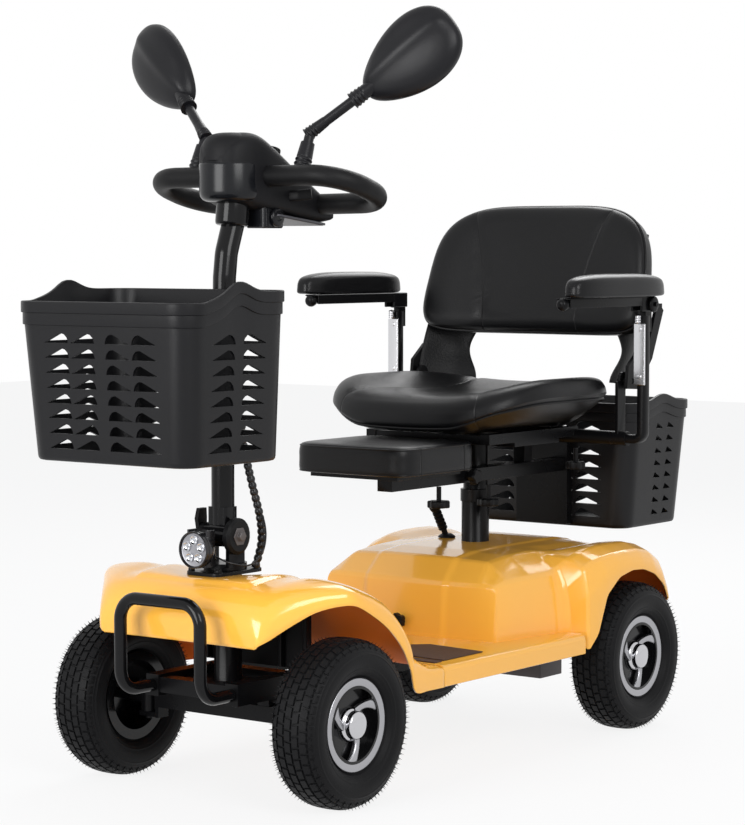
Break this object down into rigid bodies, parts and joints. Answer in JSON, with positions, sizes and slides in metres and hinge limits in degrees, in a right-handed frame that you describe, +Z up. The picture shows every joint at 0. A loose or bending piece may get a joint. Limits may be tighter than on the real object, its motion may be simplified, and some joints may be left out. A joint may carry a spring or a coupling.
{
  "type": "folding mobility scooter",
  "caption": "Folding electric mobility scooter with a swivelling padded seat, child pad, looped handlebar, mirrors, front and rear baskets and pneumatic tyres.",
  "frame": {"origin": "on the floor, under the middle of the overall length and width", "axes": "+X the way it drives, +Y its left side, +Z up"},
  "size_m": [1.415, 0.6588, 1.2124],
  "materials": {
    "body_paint": "glossy orange-yellow moulding",
    "black_steel": "satin black powder coat",
    "black_plastic": "moulded black plastic",
    "grip": "soft black foam grip",
    "mat": "ribbed dark brown mat",
    "leather": "black upholstery leather",
    "tyre": "black rubber",
    "alloy": "polished alloy",
    "lamp": "bright reflector in a metal shell",
    "mirror_glass": "mirror glass",
    "cast_metal": "grey cast housing"
  },
  "bodies": {
    "chassis": {"frame": "black_steel", "front_axle_beam": "black_steel", "front_shell": "body_paint", "floor_pan": "body_paint", "floor_mat_left": "mat", "floor_mat_right": "mat", "rear_shell": "body_paint", "column_base": "black_steel", "bumper": "black_steel", "rear_axle_left": "black_steel", "rear_axle_right": "black_steel", "drive_unit": "cast_metal", "battery_box": "black_plastic", "release_lever": "black_plastic", "housing_knob": "black_plastic"},
    "steering": {"steering_shaft": "black_steel", "fold_joint_cap": "black_plastic", "fold_lever": "black_plastic", "headlight": "lamp"},
    "knuckle_left": {"knuckle_left": "black_steel"},
    "knuckle_right": {"knuckle_right": "black_steel"},
    "tie_rod": {"tie_rod": "alloy"},
    "wheel_front_left": {"tyre_front_left": "tyre", "rim_front_left": "alloy"},
    "wheel_front_right": {"tyre_front_right": "tyre", "rim_front_right": "alloy"},
    "wheel_rear_left": {"tyre_rear_left": "tyre", "rim_rear_left": "alloy"},
    "wheel_rear_right": {"tyre_rear_right": "tyre", "rim_rear_right": "alloy"},
    "tiller": {"tiller_tube": "black_steel", "console": "black_plastic", "handlebar_left": "grip", "handlebar_right": "grip", "mirror_left": "black_plastic", "mirror_right": "black_plastic", "mirror_glass_left": "mirror_glass", "mirror_glass_right": "mirror_glass", "front_basket": "black_plastic", "basket_bracket": "black_steel"},
    "seat": {"seat_post": "black_steel", "seat_frame": "black_steel", "seat_pad": "leather", "child_seat_tube": "black_steel", "child_seat_pad": "leather", "child_seat_knob": "black_plastic", "rear_basket": "black_plastic", "arm_post_left": "black_steel", "arm_post_right": "black_steel"},
    "arm_left": {"arm_bar_left": "black_steel", "arm_pad_left": "leather"},
    "arm_right": {"arm_bar_right": "black_steel", "arm_pad_right": "leather"},
    "backrest": {"backrest_frame": "black_steel", "backrest_pad": "leather"}
  },
  "joints": [
    {"name": "steer", "type": "hinge", "parent": "chassis", "child": "steering", "pos_m": [0.4125, 0, 0.346], "axis": [0, 0, 1], "range_deg": [-35, 35]},
    {"name": "knuckle_left_turn", "type": "hinge", "parent": "chassis", "child": "knuckle_left", "pos_m": [0.4125, 0.165, 0.12918], "axis": [0, 0, 1], "range_deg": [-35, 35]},
    {"name": "knuckle_right_turn", "type": "hinge", "parent": "chassis", "child": "knuckle_right", "pos_m": [0.4125, -0.165, 0.12918], "axis": [0, 0, 1], "range_deg": [-35, 35]},
    {"name": "tie_rod_turn", "type": "hinge", "parent": "knuckle_left", "child": "tie_rod", "pos_m": [0.3475, 0.165, 0.12918], "axis": [0, 0, 1], "range_deg": [-35, 35]},
    {"name": "tiller_fold", "type": "hinge", "parent": "steering", "child": "tiller", "pos_m": [0.432, 0, 0.402], "axis": [0, -1, 0], "range_deg": [0, 35]},
    {"name": "seat_swivel", "type": "hinge", "parent": "chassis", "child": "seat", "pos_m": [-0.265, 0, 0.4], "axis": [0, 0, 1], "continuous": true},
    {"name": "backrest_fold", "type": "hinge", "parent": "seat", "child": "backrest", "pos_m": [-0.405, 0, 0.613], "axis": [0, 1, 0], "range_deg": [0, 78]},
    {"name": "arm_left_lift", "type": "hinge", "parent": "seat", "child": "arm_left", "pos_m": [-0.4, 0.265, 0.748], "axis": [0, -1, 0], "range_deg": [0, 88]},
    {"name": "arm_right_lift", "type": "hinge", "parent": "seat", "child": "arm_right", "pos_m": [-0.4, -0.265, 0.748], "axis": [0, -1, 0], "range_deg": [0, 88]},
    {"name": "wheel_front_left_roll", "type": "hinge", "parent": "knuckle_left", "child": "wheel_front_left", "pos_m": [0.4125, 0.221, 0.12918], "axis": [0, 1, 0], "continuous": true},
    {"name": "wheel_front_right_roll", "type": "hinge", "parent": "knuckle_right", "child": "wheel_front_right", "pos_m": [0.4125, -0.221, 0.12918], "axis": [0, 1, 0], "continuous": true},
    {"name": "wheel_rear_left_roll", "type": "hinge", "parent": "chassis", "child": "wheel_rear_left", "pos_m": [-0.4125, 0.221, 0.12918], "axis": [0, 1, 0], "continuous": true},
    {"name": "wheel_rear_right_roll", "type": "hinge", "parent": "chassis", "child": "wheel_rear_right", "pos_m": [-0.4125, -0.221, 0.12918], "axis": [0, 1, 0], "continuous": true}
  ],
  "couplings": [
    {"joint": "knuckle_left_turn", "follows": "steer", "ratio": 1},
    {"joint": "knuckle_right_turn", "follows": "steer", "ratio": 1},
    {"joint": "tie_rod_turn", "follows": "steer", "ratio": -1}
  ]
}
